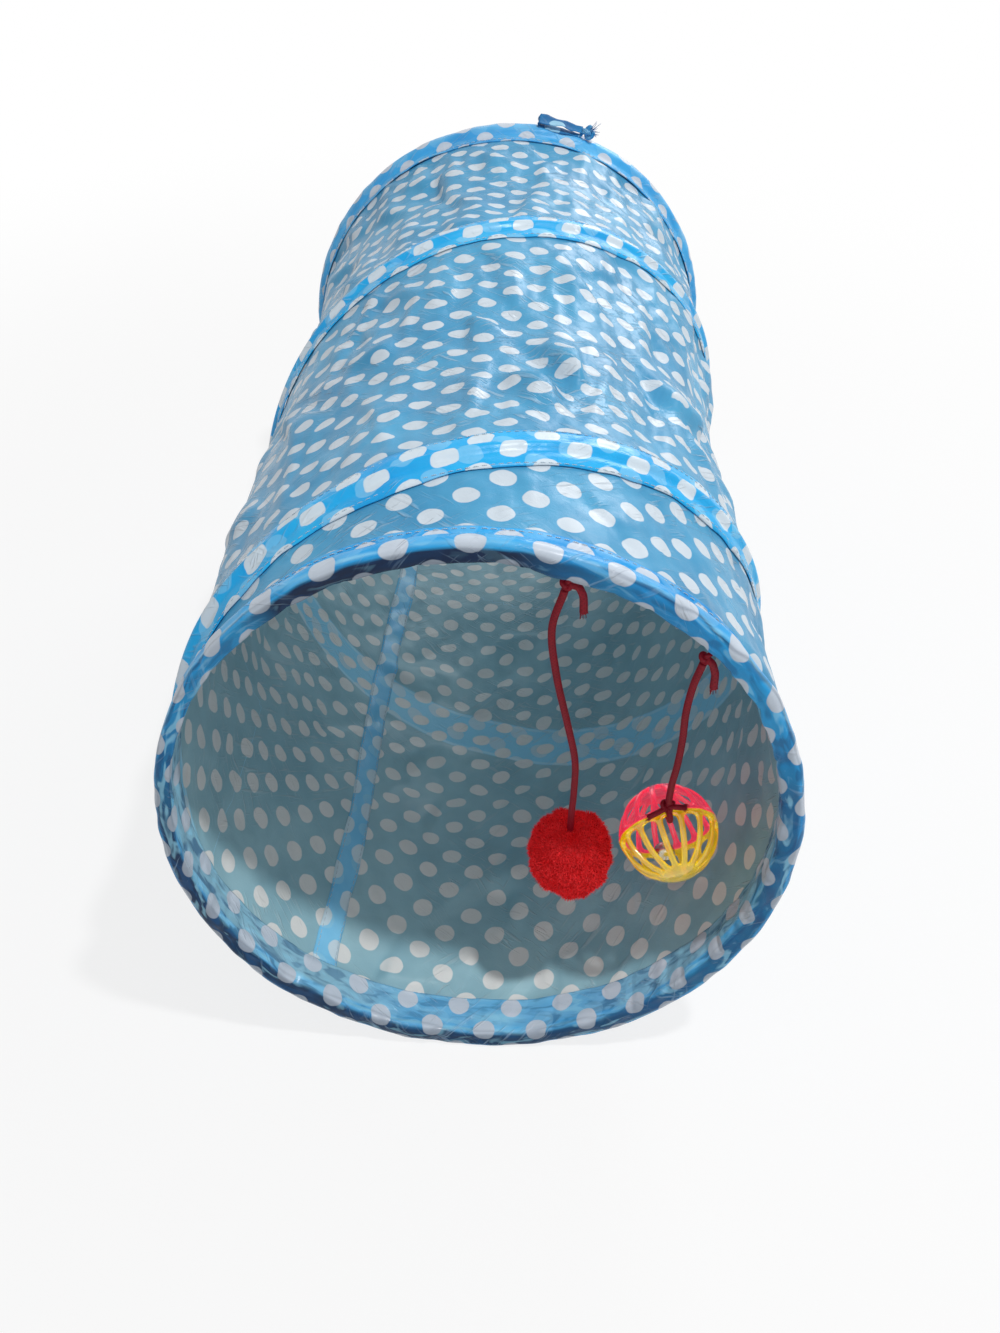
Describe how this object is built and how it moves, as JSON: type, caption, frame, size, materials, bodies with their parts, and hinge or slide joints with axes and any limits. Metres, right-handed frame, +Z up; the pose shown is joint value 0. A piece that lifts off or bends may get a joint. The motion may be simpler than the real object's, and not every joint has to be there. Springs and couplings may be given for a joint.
{
  "type": "cat tunnel",
  "caption": "Collapsible cloth play tunnel on a helical spring wire, with a pompom and a lattice bell ball hanging in its front opening.",
  "frame": {"origin": "centre of the bounding box's footprint, on the surface that the tunnel lies on", "axes": "+Y along the tunnel from its front opening to its rear opening, +X to the right seen from the front, +Z up"},
  "size_m": [0.25, 0.4604, 0.2513],
  "materials": {
    "dotted_cloth": "thin glossy polyester with pale dots",
    "doubled_cloth": "two layers of the same polyester",
    "spring_steel": "drawn wire",
    "red_elastic": "braided round elastic",
    "pompom_yarn": "fuzzy matte yarn",
    "clear_yellow": "clear tinted, glossy",
    "clear_pink": "clear tinted, glossy",
    "bell_metal": "nickel plated"
  },
  "bodies": {
    "front": {"front_hem": "doubled_cloth", "front_hoop": "spring_steel", "front_ferrule": "spring_steel", "fabric_tube": "dotted_cloth", "seam_tape": "doubled_cloth", "spring_casing": "doubled_cloth", "spring_coil": "spring_steel", "pompom_anchor": "red_elastic", "ball_anchor": "red_elastic"},
    "rear_rim": {"rear_hem": "doubled_cloth", "rear_hoop": "spring_steel", "rear_ferrule": "spring_steel", "tie_loop": "doubled_cloth", "tie_knot": "doubled_cloth"},
    "pompom_swivel": {"pompom_knot": "red_elastic"},
    "pompom_swing": {"pompom_cord": "red_elastic", "pompom": "pompom_yarn"},
    "ball_swivel": {"ball_knot": "red_elastic"},
    "ball_swing": {"ball_cord": "red_elastic", "ball_tie": "red_elastic", "ball_half_yellow": "clear_yellow", "ball_half_pink": "clear_pink"},
    "bell": {"bell_top": "bell_metal", "bell_bottom": "bell_metal"},
    "pellet": {"bell_pellet": "spring_steel"}
  },
  "joints": [
    {"name": "collapse", "type": "slide", "parent": "front", "child": "rear_rim", "axis": [0, -1, 0], "range_m": [0, 0.355], "stiffness_N_per_m": 20, "deforming": ["fabric_tube", "seam_tape", "spring_casing", "spring_coil"]},
    {"name": "pompom_fore_aft", "type": "hinge", "parent": "front", "child": "pompom_swivel", "pos_m": [0.02945, -0.18057, 0.23337], "axis": [1, 0, 0], "range_deg": [-50, 60]},
    {"name": "pompom_sideways", "type": "hinge", "parent": "pompom_swivel", "child": "pompom_swing", "pos_m": [0.02945, -0.18057, 0.23337], "axis": [0, -1, 0], "range_deg": [-30, 0]},
    {"name": "ball_fore_aft", "type": "hinge", "parent": "front", "child": "ball_swivel", "pos_m": [0.07841, -0.18591, 0.20608], "axis": [1, 0, 0], "range_deg": [-50, 60]},
    {"name": "ball_sideways", "type": "hinge", "parent": "ball_swivel", "child": "ball_swing", "pos_m": [0.07841, -0.18591, 0.20608], "axis": [0, -1, 0], "range_deg": [0, 4.5]},
    {"name": "bell_bounce", "type": "slide", "parent": "ball_swing", "child": "bell", "axis": [0, 0, 1], "range_m": [0, 0.021]},
    {"name": "pellet_rattle", "type": "slide", "parent": "bell", "child": "pellet", "axis": [0, 0, 1], "range_m": [0, 0.0044]}
  ]
}
